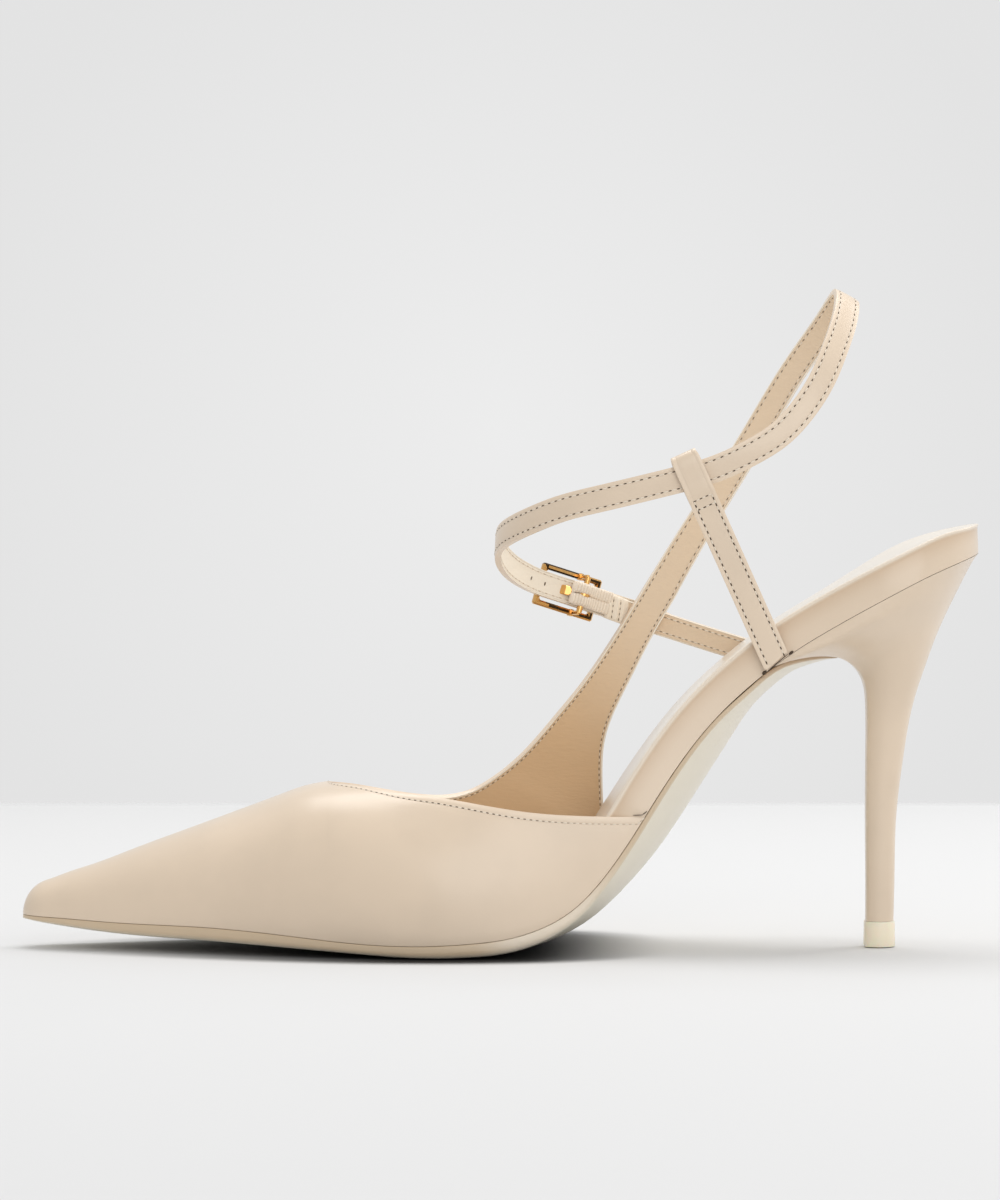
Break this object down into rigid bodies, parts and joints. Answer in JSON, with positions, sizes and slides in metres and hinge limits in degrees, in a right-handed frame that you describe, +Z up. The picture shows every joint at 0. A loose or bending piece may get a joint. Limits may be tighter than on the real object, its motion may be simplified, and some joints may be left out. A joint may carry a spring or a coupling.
{
  "type": "high heel pump",
  "caption": "Pointed toe pump with a slim high heel, an open waist, and an outer wing that runs on as an ankle strap through a keeper to a buckle.",
  "frame": {"origin": "centre of the bounding box on the floor plane under the heel tip and the forefoot", "axes": "+X from the toe to the heel, +Y from the inner to the outer side, +Z up"},
  "size_m": [0.2387, 0.0727, 0.1643],
  "materials": {
    "leather": "smooth and glossy, pale beige",
    "outsole": "tan edge, pale cream underside",
    "footbed": "smooth, pale beige",
    "heel_cover": "smooth and glossy, pale beige",
    "heel_tip": "slightly clear cream",
    "elastic": "ribbed",
    "gold_metal": "polished gold"
  },
  "bodies": {
    "root": {"outsole": "outsole", "insole": "footbed", "upper": "leather", "heel": "heel_cover", "heel_tip": "heel_tip", "ankle_strap": "leather", "side_stay": "leather", "buckle_strap": "leather", "buckle_elastic": "elastic", "buckle_frame": "gold_metal", "buckle_prong": "gold_metal"}
  },
  "joints": []
}
